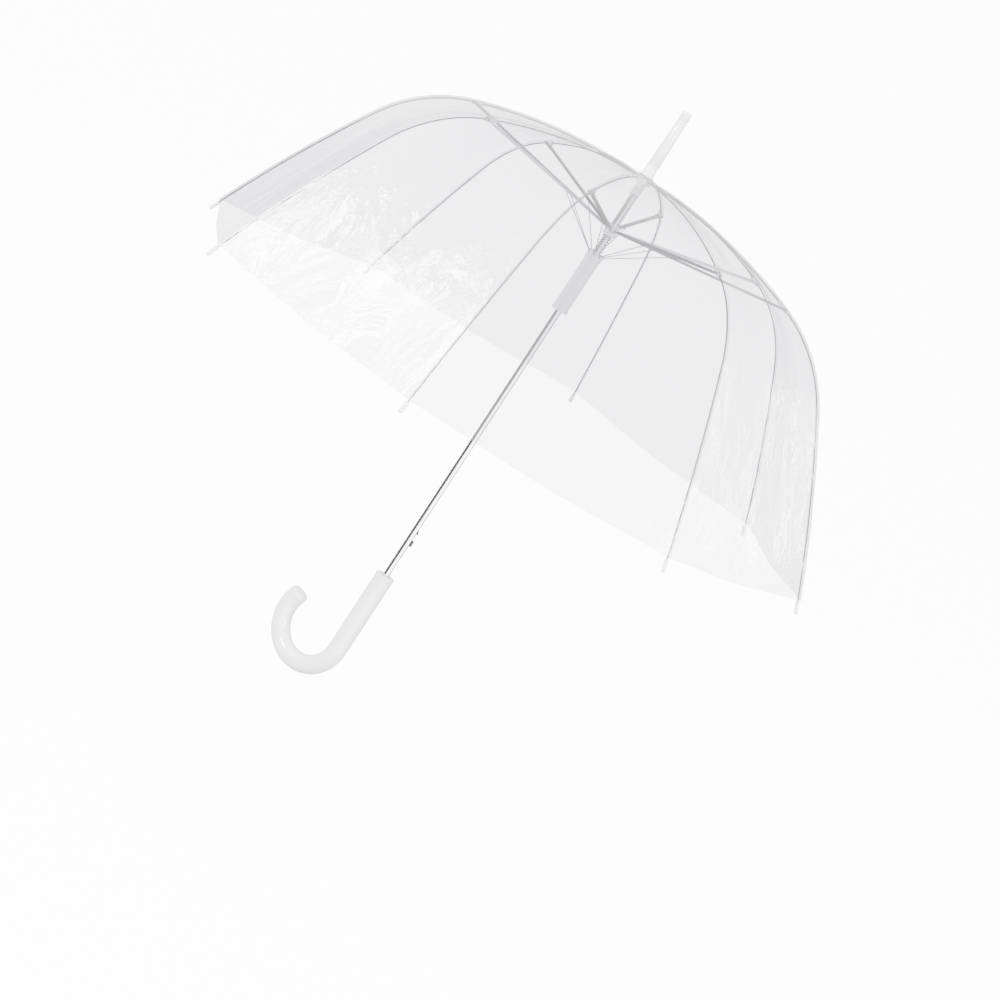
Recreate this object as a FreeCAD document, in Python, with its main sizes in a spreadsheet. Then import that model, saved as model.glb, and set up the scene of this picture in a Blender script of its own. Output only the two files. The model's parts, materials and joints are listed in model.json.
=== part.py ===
"""Stick umbrella with a clear dome canopy, open, as a parametric FreeCAD document.

Millimetres, +Z up along the shaft. The origin lies on the shaft's axis, level with the lowest
point of the hooked handle. Rib 1 lies over +X and the ribs follow each other anticlockwise.

The eight ribs fold by one linkage. Every rib hangs from the top notch, and a stretcher joins its
clip to the sliding hub. Rib and stretcher are equally long between pivots and start at the same
radius, so the hub stays upright on the shaft, and each hinge turns in a fixed ratio to the first.
"""
import FreeCAD, Part

import math
import os
import re

DRIVING_SIZES = {
    # Heights above the handle's lowest point
    "apex_height": 746,
    "notch_pivot_height": 733,
    "hub_pivot_height": 664,
    "crown_pivot_height": 629,
    "runner_bottom_height": 550,
    "catch_height": 234,
    "button_height": 217,
    "latch_root_height": 198,
    "handle_top_height": 167,
    "ferrule_tip_height": 825.5,
    # Linkage
    "rib_count": 8,
    "pivot_radius": 7,
    "link_length": 219,
    "strut_reach": 70,
    "crown_pivot_radius": 9.3,
    # Ribs
    "rib_wire_radius": 1,
    "rib_clip_slope": 19.5,
    "rib_knee_slope": 58,
    "rib_hem_slope": 65,
    "hem_corner_radius": 425,
    "hem_drop": 319,
    "rib_tail": 11,
    "eye_radius": 1.5,
    "ring_wire_radius": 0.5,
    "ring_clearance": 0.15,
    "eye_thickness": 2,
    # Clips and tip caps
    "clip_width": 4.4,
    "clip_inner_length": 12,
    "clip_outer_length": 3.5,
    "clip_rise": 1.7,
    "clip_drop": 2.6,
    "clip_eye_radius": 2,
    "link_slot_width": 2.6,
    "rivet_radius": 0.8,
    "rivet_head_radius": 1.8,
    "rivet_head_depth": 0.6,
    "rivet_play": 0.2,
    "clip_grip_clearance": 0.13,
    "cap_radius": 2.4,
    "cap_length": 12,
    "cap_hem_gap": 1.5,
    # Stretchers and struts
    "channel_width": 3.6,
    "channel_height": 3.2,
    "sheet_thickness": 0.5,
    "tongue_length": 11,
    "tongue_height": 2.6,
    "tongue_clearance": 0.1,
    "fork_gap": 5,
    "fork_thickness": 0.6,
    "fork_length": 13.5,
    "fork_bridge_length": 6,
    "fork_end_reach": 1.7,
    "fork_height": 2.6,
    "strut_wire_radius": 0.6,
    "strut_eye_radius": 1.3,
    "strut_eye_thickness": 1.4,
    "strut_slot_width": 2,
    "strut_pivot_drop": 0.4,
    # Parts on the shaft
    "shaft_radius": 4,
    "shaft_wall": 0.6,
    "shaft_top_rise": 26,
    "sliding_clearance": 0.1,
    "notch_radius": 9,
    "notch_rise": 4,
    "notch_depth": 5,
    "hub_radius": 8.6,
    "hub_skirt_radius": 8.2,
    "hub_skirt_depth": 8,
    "hub_rise": 6,
    "hub_stop_gap": 1,
    "slot_floor_room": 0.6,
    "slot_end_room": 0.25,
    "sleeve_radius": 5.6,
    "sleeve_length": 15,
    "spring_gap": 0.4,
    "spring_end_gap": 0.3,
    "buffer_spring_radius": 5.5,
    "drive_spring_radius": 6.1,
    "drive_spring_gap": 0.5,
    "drive_spring_pocket": 26,
    "runner_radius": 9.5,
    "crown_radius": 10.4,
    "crown_height": 10,
    "crown_rise": 2.6,
    "crown_slot_depth": 2.5,
    "crown_slot_room": 0.4,
    "collar_height": 3,
    "latch_slot_width": 4.4,
    "latch_slot_height": 36,
    # Release
    "button_width": 3.2,
    "button_tall": 8,
    "button_reach": 7,
    "button_edge_radius": 1,
    "button_strip_gap": 0.2,
    "catch_reach": 6.4,
    "catch_tall": 8,
    "catch_top_width": 1,
    "window_side_room": 0.3,
    "button_window_room": 0.5,
    "catch_window_room": 1,
    "strip_width": 2.4,
    "strip_thickness": 0.5,
    "strip_offset": 1.8,
    # Ferrule, film and handle
    "ferrule_base_radius": 7.6,
    "ferrule_tip_radius": 5.85,
    "ferrule_flange_radius": 9,
    "ferrule_flange_depth": 2,
    "ferrule_seat_depth": 8,
    "ferrule_nose_depth": 2,
    "ferrule_nose_draft": 1.6,
    "film_thickness": 0.2,
    "film_clearance": 2.8,
    "film_seat_gap": 0.3,
    "film_seat_margin": 2,
    "handle_radius": 12,
    "lip_radius": 3,
    "lip_reach": 12.6,
    "hook_radius": 46,
    "hook_sweep": 198,
    "hook_end_length": 8,
    "hook_nose_depth": 2.5,
    "hook_direction": 162,
    "socket_depth": 34,
    "socket_end_gap": 1,
    # How far a cutting shape runs past the face that it cuts
    "overcut": 1,
}

RIB_STEP = 45.0
FILM_STATIONS_PER_ARC = 8

doc = FreeCAD.newDocument("StickUmbrella")
sheet = doc.addObject("Spreadsheet::Sheet", "Sheet")
for row, (alias, number) in enumerate(DRIVING_SIZES.items(), start=1):
    sheet.set(f"A{row}", alias)
    sheet.set(f"B{row}", str(number))
    sheet.setAlias(f"B{row}", alias)
doc.recompute()

X_AXIS = FreeCAD.Vector(1, 0, 0)
Y_AXIS = FreeCAD.Vector(0, 1, 0)
Z_AXIS = FreeCAD.Vector(0, 0, 1)

sub_parts = []
helper_count = 0


def size(alias):
    """One driving dimension, read from the sheet."""
    return float(sheet.get(alias))


def bound(expression):
    """The expression with each alias written as a cell of the sheet."""
    def cell(match):
        word = match.group()
        return f"Sheet.{word}" if word in DRIVING_SIZES else word
    return re.sub(r"[a-z_]+", cell, expression)


def helper_name(kind):
    global helper_count
    helper_count += 1
    return f"{kind}_{helper_count:04d}"


def primitive(kind, place=None, **sizes):
    """A Part primitive whose properties follow the sheet."""
    shape = doc.addObject(f"Part::{kind}", helper_name(kind))
    for name, expression in sizes.items():
        shape.setExpression(name, bound(str(expression)))
    if place is not None:
        shape.Placement = place
    return shape


def at(x=0.0, y=0.0, z=0.0, axis=Z_AXIS, angle=0.0):
    """A placement: a turn about an axis, then a move."""
    return FreeCAD.Placement(FreeCAD.Vector(x, y, z), FreeCAD.Rotation(axis, angle))


def across(x, z, start):
    """Placement that lays a cylinder along +Y, starting at y = start."""
    return at(x, start, z, X_AXIS, -90)


def fused(*shapes):
    union = doc.addObject("Part::MultiFuse", helper_name("Fuse"))
    union.Shapes = list(shapes)
    return union


def cut(base, *tools):
    result = doc.addObject("Part::Cut", helper_name("Cut"))
    result.Base = base
    result.Tool = tools[0] if len(tools) == 1 else fused(*tools)
    return result


def keep(shape, node, turn=0.0):
    """Name a finished sub-part and turn it about the shaft to its place."""
    shape.Label = node
    shape.Placement = at(angle=turn).multiply(shape.Placement)
    sub_parts.append(shape)
    return shape


def box(x, y, z):
    """A box spanning three (low, high) pairs given as expressions."""
    (x_low, x_high), (y_low, y_high), (z_low, z_high) = x, y, z
    shape = primitive("Box", Length=f"({x_high}) - ({x_low})", Width=f"({y_high}) - ({y_low})",
                      Height=f"({z_high}) - ({z_low})")
    shape.setExpression("Placement.Base.x", bound(str(x_low)))
    shape.setExpression("Placement.Base.y", bound(str(y_low)))
    shape.setExpression("Placement.Base.z", bound(str(z_low)))
    return shape


# Linkage, worked out from the driving sizes
rib_count = int(size("rib_count"))
pivot_radius = size("pivot_radius")
link_length = size("link_length")
notch_pivot = (pivot_radius, size("notch_pivot_height"))
hub_pivot = (pivot_radius, size("hub_pivot_height"))
rest_angle = math.degrees(math.asin((notch_pivot[1] - hub_pivot[1]) / (2 * link_length)))
clip_pivot = (
    pivot_radius + link_length * math.cos(math.radians(rest_angle)),
    (notch_pivot[1] + hub_pivot[1]) / 2,
)


def along(start, slope, distance):
    """The point a distance from start on a line that falls at a slope in degrees."""
    turn = math.radians(slope)
    return start[0] + distance * math.cos(turn), start[1] - distance * math.sin(turn)


class Arc:
    """An arc in a rib's own plane that steepens from one downward slope to another."""

    def __init__(self, start, first_slope, last_slope, radius):
        self.start = start
        self.first_slope = first_slope
        self.last_slope = last_slope
        self.radius = radius
        first = math.radians(first_slope)
        self.centre = (start[0] - radius * math.sin(first), start[1] - radius * math.cos(first))

    def point(self, slope, offset=0.0):
        turn = math.radians(slope)
        reach = self.radius + offset
        return self.centre[0] + reach * math.sin(turn), self.centre[1] + reach * math.cos(turn)

    def tube(self, radius_expression, trim_end=0.0):
        """A torus segment along the arc, stopping short of its end by a distance."""
        last = self.last_slope - math.degrees(trim_end / self.radius)
        turn = FreeCAD.Rotation(-Y_AXIS, 90 - last).multiply(FreeCAD.Rotation(X_AXIS, 90))
        centre = FreeCAD.Vector(self.centre[0], 0, self.centre[1])
        tube = primitive("Torus", FreeCAD.Placement(centre, turn), Radius2=radius_expression)
        tube.Radius1 = self.radius
        tube.Angle3 = last - self.first_slope
        return tube


def rib_arcs():
    """The rib's three arcs: notch to clip, clip to knee, knee to hem."""
    clip_slope = size("rib_clip_slope")
    knee_slope = size("rib_knee_slope")
    hem_slope = size("rib_hem_slope")
    bow = clip_slope - rest_angle
    inner_radius = link_length / (2 * math.sin(math.radians(bow)))
    inner = Arc(notch_pivot, rest_angle - bow, clip_slope, inner_radius)
    run = size("hem_corner_radius") - clip_pivot[0]
    fall = clip_pivot[1] - (size("apex_height") - size("hem_drop"))
    clip_turn, knee_turn, hem_turn = (math.radians(a) for a in (clip_slope, knee_slope, hem_slope))
    run_1 = math.sin(knee_turn) - math.sin(clip_turn)
    fall_1 = math.cos(clip_turn) - math.cos(knee_turn)
    run_2 = math.sin(hem_turn) - math.sin(knee_turn)
    fall_2 = math.cos(knee_turn) - math.cos(hem_turn)
    scale = run_1 * fall_2 - run_2 * fall_1
    knee_radius = (run * fall_2 - run_2 * fall) / scale
    hem_radius = (run_1 * fall - fall_1 * run) / scale
    knee = Arc(clip_pivot, clip_slope, knee_slope, knee_radius)
    hem = Arc(knee.point(knee_slope), knee_slope, hem_slope, hem_radius)
    return inner, knee, hem


inner_arc, knee_arc, hem_arc = rib_arcs()
strut_pivot = along(hub_pivot, -rest_angle, size("strut_reach"))
strut_pivot = along(strut_pivot, 90 - rest_angle, size("strut_pivot_drop"))
crown_pivot = (size("crown_pivot_radius"), size("crown_pivot_height"))


def strut_line():
    """Length and downward slope, seen from the shaft, of a strut at rest."""
    run = strut_pivot[0] - crown_pivot[0]
    fall = strut_pivot[1] - crown_pivot[1]
    return math.hypot(run, fall), math.degrees(math.atan2(fall, run))


def window(height, tall, room):
    """An opening in the shaft's +X side for the button or the catch."""
    half_width = "button_width / 2 + window_side_room"
    return box((0, "shaft_radius + overcut"), (f"-({half_width})", half_width),
               (f"{height} - {tall} / 2 - {room}", f"{height} + {tall} / 2 + {room}"))


def shaft():
    windows = [
        window("button_height", "button_tall", "button_window_room"),
        window("catch_height", "catch_tall", "catch_window_room"),
    ]
    foot = "handle_top_height - socket_depth + socket_end_gap"
    length = f"apex_height + shaft_top_rise - ({foot})"
    outside = primitive("Cylinder", Radius="shaft_radius", Height=length)
    inside = primitive("Cylinder", Radius="shaft_radius - shaft_wall", Height=length)
    for tube in (outside, inside):
        tube.setExpression("Placement.Base.z", bound(foot))
    keep(cut(outside, inside, *windows), "shaft")


def ring_wire(height):
    """The wire ring that carries the eyes of eight ribs or stretchers."""
    wire = primitive("Torus", Radius1="pivot_radius", Radius2="ring_wire_radius")
    wire.setExpression("Placement.Base.z", bound(height))
    return wire


def upright(radius, z_low, z_high):
    """A cylinder on the shaft's axis."""
    shape = primitive("Cylinder", Radius=radius, Height=f"({z_high}) - ({z_low})")
    shape.setExpression("Placement.Base.z", bound(str(z_low)))
    return shape


def slots(inner, z_low, z_high, width):
    """Eight radial slots, each a box turned to its rib."""
    cutters = []
    for index in range(rib_count):
        slot = primitive("Box", Length="crown_radius + overcut", Width=width,
                         Height=f"({z_high}) - ({z_low})")
        turn = RIB_STEP * index
        corner = FreeCAD.Vector(inner, -size(width) / 2, 0)
        corner = FreeCAD.Rotation(Z_AXIS, turn).multVec(corner)
        slot.Placement = FreeCAD.Placement(corner, FreeCAD.Rotation(Z_AXIS, turn))
        slot.setExpression("Placement.Base.z", bound(z_low))
        cutters.append(slot)
    return cutters


def eye_slots(z_low, z_high):
    """Radial slots that leave room round the eyes on a ring wire."""
    inner = pivot_radius - size("eye_radius") - size("slot_end_room")
    return slots(inner, z_low, z_high, "link_slot_width")


def top_notch():
    foot = "notch_pivot_height - notch_depth"
    top = "notch_pivot_height + notch_rise"
    body = upright("notch_radius", foot, top)
    bore = upright("shaft_radius", f"{foot} - overcut", f"{top} + overcut")
    cutters = eye_slots(f"{foot} - overcut", "notch_pivot_height + eye_radius + slot_floor_room")
    slotted = cut(body, bore, *cutters)
    keep(fused(slotted, ring_wire("notch_pivot_height")), "top_notch")


def spacer_sleeve():
    top = "notch_pivot_height - notch_depth - spring_end_gap"
    body = upright("sleeve_radius", f"{top} - sleeve_length", top)
    bore = upright("shaft_radius", f"{top} - sleeve_length - overcut", f"{top} + overcut")
    keep(cut(body, bore), "spacer_sleeve")


def buffer_spring():
    top = "notch_pivot_height - notch_depth - spring_end_gap - sleeve_length"
    bottom = "hub_pivot_height + hub_rise + hub_stop_gap"
    body = upright("buffer_spring_radius", bottom, top)
    bore = upright("shaft_radius + spring_gap", f"{bottom} - overcut", f"{top} + overcut")
    keep(cut(body, bore), "buffer_spring")


def hub():
    foot = "hub_pivot_height - hub_skirt_depth"
    floor = "hub_pivot_height - eye_radius - slot_floor_room"
    top = "hub_pivot_height + hub_rise"
    skirt = upright("hub_skirt_radius", foot, floor)
    body = upright("hub_radius", floor, top)
    cutters = eye_slots(floor, f"{top} + overcut")
    bore = upright("shaft_radius + sliding_clearance", f"{foot} - overcut", f"{top} + overcut")
    slotted = cut(fused(skirt, body), bore, *cutters)
    keep(fused(slotted, ring_wire("hub_pivot_height")), "hub")


def drive_spring():
    top = "hub_pivot_height - hub_skirt_depth - spring_end_gap"
    bottom = "crown_pivot_height - drive_spring_pocket + spring_end_gap"
    body = upright("drive_spring_radius", bottom, top)
    bore = upright("shaft_radius + drive_spring_gap", f"{bottom} - overcut", f"{top} + overcut")
    keep(cut(body, bore), "drive_spring")


def runner():
    crown_top = "crown_pivot_height + crown_rise"
    tube = upright("runner_radius", "runner_bottom_height", crown_top)
    crown = upright("crown_radius", f"{crown_top} - crown_height", crown_top)
    collar = upright("crown_radius", "runner_bottom_height",
                     "runner_bottom_height + collar_height")
    bore = upright("shaft_radius + sliding_clearance", "runner_bottom_height - overcut",
                   f"{crown_top} + overcut")
    pocket = upright("drive_spring_radius + spring_end_gap",
                     "crown_pivot_height - drive_spring_pocket", f"{crown_top} + overcut")
    inner = size("crown_pivot_radius") - size("strut_wire_radius") - size("crown_slot_room")
    cutters = slots(inner, "crown_pivot_height - crown_slot_depth", f"{crown_top} + overcut",
                    "strut_slot_width")
    latch_slot = box((0, "crown_radius + overcut"),
                     ("-latch_slot_width / 2", "latch_slot_width / 2"),
                     ("runner_bottom_height - overcut",
                      "runner_bottom_height + latch_slot_height"))
    keep(cut(fused(tube, crown, collar), bore, pocket, latch_slot, *cutters), "runner")


def eye(pivot, thickness, radius):
    """A flat round eye about a pivot, before its hole is made."""
    half = size(thickness) / 2
    return primitive("Cylinder", across(pivot[0], pivot[1], -half), Radius=radius, Height=thickness)


def eye_hole(pivot, radius):
    """The hole of an eye, cut right across."""
    half = size("channel_width")
    return primitive("Cylinder", across(pivot[0], pivot[1], -half), Radius=radius,
                     Height="2 * channel_width")


def rib_inner(index):
    """Wire from the notch to the clip, with a flattened eye on the notch's ring."""
    outer_eye = size("eye_radius") + size("fork_gap") / 2 - size("eye_thickness") / 2
    wire = inner_arc.tube("rib_wire_radius", trim_end=outer_eye)
    end = eye(notch_pivot, "eye_thickness", "eye_radius")
    hole = eye_hole(notch_pivot, "ring_wire_radius + ring_clearance")
    keep(cut(fused(wire, end), hole), f"rib_inner_{index + 1}", RIB_STEP * index)


def rib_outer(index):
    """Wire from the clip past the hem, with an eye on the clip's rivet."""
    hem_end = hem_arc.point(hem_arc.last_slope)
    slope = hem_arc.last_slope
    tail = primitive("Cylinder", at(hem_end[0], 0, hem_end[1], Y_AXIS, 90 + slope),
                     Radius="rib_wire_radius", Height="rib_tail")
    end = eye(clip_pivot, "eye_thickness", "clip_eye_radius")
    hole = eye_hole(clip_pivot, "rivet_radius + sliding_clearance")
    wire = fused(knee_arc.tube("rib_wire_radius"), hem_arc.tube("rib_wire_radius"), tail, end)
    keep(cut(wire, hole), f"rib_outer_{index + 1}", RIB_STEP * index)


def rib_tip(index):
    """Round-ended cap pushed on the rib's end, just past the hem."""
    slope = hem_arc.last_slope
    hem_end = hem_arc.point(slope)
    start = along(hem_end, slope, size("cap_hem_gap"))
    cap_end = along(start, slope, size("cap_length"))
    cap = primitive("Cylinder", at(start[0], 0, start[1], Y_AXIS, 90 + slope),
                    Radius="cap_radius", Height="cap_length")
    nose = primitive("Sphere", at(cap_end[0], 0, cap_end[1]), Radius="cap_radius")
    bore = primitive("Cylinder", at(hem_end[0], 0, hem_end[1], Y_AXIS, 90 + slope),
                     Radius="rib_wire_radius", Height="rib_tail")
    keep(cut(fused(cap, nose), bore), f"rib_tip_{index + 1}", RIB_STEP * index)


def rib_clip(index):
    """Plastic clip held on the inner wire, slotted for the outer wire, with its cross rivet."""
    place = at(clip_pivot[0], 0, clip_pivot[1], Y_AXIS, inner_arc.last_slope)
    half_gap = "link_slot_width / 2"
    body = box(("-clip_inner_length", "clip_outer_length"), ("-clip_width / 2", "clip_width / 2"),
               ("-clip_drop", "clip_rise"))
    slot = box(("-clip_eye_radius - slot_end_room", "clip_outer_length + overcut"),
               (f"-{half_gap}", half_gap), ("-clip_drop - overcut", "clip_rise + overcut"))
    bore = primitive("Cylinder", at(-size("clip_inner_length") - size("overcut"), 0, 0, Y_AXIS, 90),
                     Radius="rib_wire_radius + clip_grip_clearance", Height="clip_inner_length")
    reach = size("fork_gap") / 2 + size("fork_thickness") + size("rivet_play")
    reach += size("rivet_head_depth")
    pin = primitive("Cylinder", across(0, 0, -reach), Radius="rivet_radius")
    pin.Height = 2 * reach
    heads = [primitive("Cylinder", across(0, 0, y), Radius="rivet_head_radius",
                       Height="rivet_head_depth")
             for y in (-reach, reach - size("rivet_head_depth"))]
    clip = fused(cut(body, slot, bore), pin, *heads)
    clip.Placement = place
    keep(clip, f"rib_clip_{index + 1}", RIB_STEP * index)


def stretcher(index):
    """Folded steel channel from the hub to the clip, drawn along +X and tilted to rest."""
    half = "channel_width / 2"
    half_height = "channel_height / 2"
    end = "link_length - fork_length"
    bridge_start = f"{end} - fork_bridge_length"
    tongue_half = "eye_thickness / 2 - tongue_clearance"
    tongue = box((0, "tongue_length"), (f"-({tongue_half})", tongue_half),
                 ("-tongue_height / 2", "tongue_height / 2"))
    eye_disc = primitive("Cylinder",
                         across(0, 0, size("tongue_clearance") - size("eye_thickness") / 2),
                         Radius="eye_radius", Height="eye_thickness - 2 * tongue_clearance")
    channel = box(("tongue_length - overcut", bridge_start), (f"-{half}", half),
                  (f"-{half_height}", half_height))
    hollow = box(("tongue_length - 2 * overcut", bridge_start),
                 (f"-{half} + sheet_thickness", f"{half} - sheet_thickness"),
                 (f"-{half_height} - overcut", f"{half_height} - sheet_thickness"))
    bridge = box((bridge_start, end),
                 ("-fork_gap / 2 - fork_thickness", "fork_gap / 2 + fork_thickness"),
                 (f"-{half_height}", half_height))
    ears = [box((end, "link_length + fork_end_reach"), (low, high),
                ("-fork_height / 2", "fork_height / 2"))
            for low, high in (("fork_gap / 2", "fork_gap / 2 + fork_thickness"),
                              ("-fork_gap / 2 - fork_thickness", "-fork_gap / 2"))]
    rivet = primitive("Cylinder",
                      across(size("strut_reach"), -size("strut_pivot_drop"),
                             -size("channel_width") / 2),
                      Radius="ring_wire_radius", Height="channel_width")
    hub_hole = eye_hole((0, 0), "ring_wire_radius + ring_clearance")
    clip_hole = primitive("Cylinder", across(link_length, 0, -size("fork_gap")),
                          Radius="rivet_radius + sliding_clearance", Height="2 * fork_gap")
    bar = fused(cut(channel, hollow), tongue, eye_disc, bridge, *ears, rivet)
    bar = cut(bar, hub_hole, clip_hole)
    bar.Placement = at(hub_pivot[0], 0, hub_pivot[1], Y_AXIS, -rest_angle)
    keep(bar, f"stretcher_{index + 1}", RIB_STEP * index)


def strut(index):
    """Thin wire from the stretcher's rivet down to a slot in the runner's crown."""
    length, slope = strut_line()
    wire = primitive("Cylinder", at(angle=-90, axis=Y_AXIS), Radius="strut_wire_radius")
    wire.Height = length
    foot = primitive("Sphere", at(-length, 0, 0), Radius="strut_wire_radius")
    end = eye((0, 0), "strut_eye_thickness", "strut_eye_radius")
    hole = eye_hole((0, 0), "ring_wire_radius + sliding_clearance")
    rod = cut(fused(wire, foot, end), hole)
    rod.Placement = at(strut_pivot[0], 0, strut_pivot[1], Y_AXIS, -slope)
    keep(rod, f"strut_{index + 1}", RIB_STEP * index)


def ferrule():
    base = "apex_height - ferrule_seat_depth"
    shoulder = "ferrule_tip_height - ferrule_nose_depth"
    cone = primitive("Cone", Radius1="ferrule_base_radius", Radius2="ferrule_tip_radius",
                     Height=f"{shoulder} - ({base})")
    nose = primitive("Cone", Radius1="ferrule_tip_radius",
                     Radius2="ferrule_tip_radius - ferrule_nose_draft",
                     Height="ferrule_nose_depth")
    for shape, foot in ((cone, base), (nose, shoulder)):
        shape.setExpression("Placement.Base.z", bound(foot))
    flange = upright("ferrule_flange_radius", base, f"{base} + ferrule_flange_depth")
    bore = upright("shaft_radius", f"{base} - overcut", "apex_height + shaft_top_rise")
    keep(cut(fused(cone, nose, flange), bore), "ferrule")


def handle():
    """Straight grip, hook and short upturned end, with a blind socket for the shaft."""
    hook_height = size("hook_radius") + size("handle_radius")
    sweep = size("hook_sweep")
    grip = upright("handle_radius", "hook_radius + handle_radius", "handle_top_height")
    lip = primitive("Torus", at(z=size("handle_top_height") - size("lip_radius")),
                    Radius1="lip_reach - lip_radius", Radius2="lip_radius")
    hook = primitive("Torus", FreeCAD.Placement(
        FreeCAD.Vector(size("hook_radius"), 0, hook_height),
        FreeCAD.Rotation(-Y_AXIS, 180).multiply(FreeCAD.Rotation(X_AXIS, 90))),
        Radius1="hook_radius", Radius2="handle_radius", Angle3="hook_sweep")
    turn = math.radians(sweep)
    end_x = size("hook_radius") * (1 - math.cos(turn))
    end_z = hook_height - size("hook_radius") * math.sin(turn)
    end_place = at(end_x, 0, end_z, Y_AXIS, 180 - sweep)
    end = primitive("Cylinder", end_place, Radius="handle_radius", Height="hook_end_length")
    nose = primitive("Cone", end_place.multiply(at(z=size("hook_end_length"))),
                     Radius1="handle_radius", Radius2="handle_radius - hook_nose_depth",
                     Height="hook_nose_depth")
    socket = upright("shaft_radius", "handle_top_height - socket_depth",
                     "handle_top_height + overcut")
    stick = cut(fused(grip, lip, hook, end, nose), socket)
    keep(stick, "handle", size("hook_direction"))


def release_button():
    """Press button that slides in through the shaft's lower window."""
    inner = "strip_offset + strip_thickness + button_strip_gap"
    body = box((inner, "button_reach"), ("-button_width / 2", "button_width / 2"),
               ("button_height - button_tall / 2", "button_height + button_tall / 2"))
    rounded = doc.addObject("Part::Fillet", helper_name("Fillet"))
    rounded.Base = body
    doc.recompute()
    middle = (size("strip_offset") + size("button_reach")) / 2
    outer_edges = [number for number, edge in enumerate(body.Shape.Edges, start=1)
                   if edge.BoundBox.XMin > middle]
    round_over = size("button_edge_radius")
    rounded.Edges = [(number, round_over, round_over) for number in outer_edges]
    keep(rounded, "release_button")


def latch_spring():
    """Leaf spring inside the shaft, carrying the wedge that holds the runner down."""
    strip = box(("strip_offset", "strip_offset + strip_thickness"),
                ("-strip_width / 2", "strip_width / 2"),
                ("latch_root_height", "catch_height + catch_tall / 2"))
    catch = primitive("Wedge", Xmin="strip_offset", Xmax="catch_reach",
                      X2min="strip_offset", X2max="strip_offset + catch_top_width",
                      Zmin=0, Zmax="strip_width", Z2min=0, Z2max="strip_width",
                      Ymin=0, Ymax="catch_tall")
    low = size("catch_height") - size("catch_tall") / 2
    catch.Placement = at(0, size("strip_width") / 2, low, X_AXIS, 90)
    keep(fused(strip, catch), "latch_spring")


def octagon(radius, height):
    """Closed eight-sided wire with a corner over each rib."""
    corners = []
    for index in range(rib_count):
        turn = math.radians(RIB_STEP * index)
        corners.append(FreeCAD.Vector(radius * math.cos(turn), radius * math.sin(turn), height))
    return Part.makePolygon(corners + corners[:1])


def film_stations(offset):
    """Corner radius and height along the film, a distance above the ribs.

    The film starts level over the notch and then follows the ribs' three arcs.
    """
    notch_top = size("notch_pivot_height") + size("notch_rise")
    lift = offset - size("film_clearance") + size("film_seat_gap")
    stations = [(size("notch_radius") + size("film_seat_margin"), notch_top + lift)]
    for arc in (inner_arc, knee_arc, hem_arc):
        for step in range(1, FILM_STATIONS_PER_ARC + 1):
            share = step / FILM_STATIONS_PER_ARC
            slope = arc.first_slope + share * (arc.last_slope - arc.first_slope)
            stations.append(arc.point(slope, offset))
    return stations


def dome(offset):
    """Solid under the film: an octagonal loft through the stations, closed at both ends."""
    wires = [octagon(radius, height) for radius, height in film_stations(offset)]
    return Part.makeLoft(wires, True, True)


def canopy():
    """The film as one thin eight-sided shell, with a round hole for the ferrule."""
    inside = size("film_clearance")
    outside = inside + size("film_thickness")
    hole = Part.makeCylinder(size("shaft_radius") + size("spring_gap"), size("apex_height"))
    film = doc.addObject("Part::Feature", "Canopy")
    film.Shape = dome(outside).cut(dome(inside)).cut(hole)
    film.Placement = FreeCAD.Placement()
    keep(film, "canopy")


for build in (shaft, top_notch, spacer_sleeve, buffer_spring, hub, drive_spring, runner, ferrule,
              handle, release_button, latch_spring, canopy):
    build()
for rib in range(rib_count):
    rib_inner(rib)
    rib_outer(rib)
    rib_tip(rib)
    rib_clip(rib)
    stretcher(rib)
    strut(rib)

doc.recompute()

faults = [f"{item.Name}: {item.State}" for item in doc.Objects
          if "Invalid" in item.State or "Error" in item.State]
for item in sub_parts:
    if item.Shape.isNull() or not item.Shape.isValid():
        faults.append(f"{item.Label}: shape is null or not valid")
if faults:
    raise RuntimeError("\n".join(faults))

os.makedirs("parts", exist_ok=True)
for item in sub_parts:
    item.Shape.exportStep(f"parts/{item.Label}.step")
print(len(sub_parts), "sub-parts written")
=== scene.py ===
"""A stick umbrella with a clear dome canopy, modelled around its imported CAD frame.

Metres, +Z up along the shaft. The film, the springs, the caps, the handle and the small metal
parts are made here. The linkage, the shaft, the hub and the runner are the frame's own nodes.
"""
import json
import math

import bmesh
import bpy
from bpy.props import FloatProperty, FloatVectorProperty, IntProperty, PointerProperty
from mathutils import Matrix, Vector
from mathutils import noise as field


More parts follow.
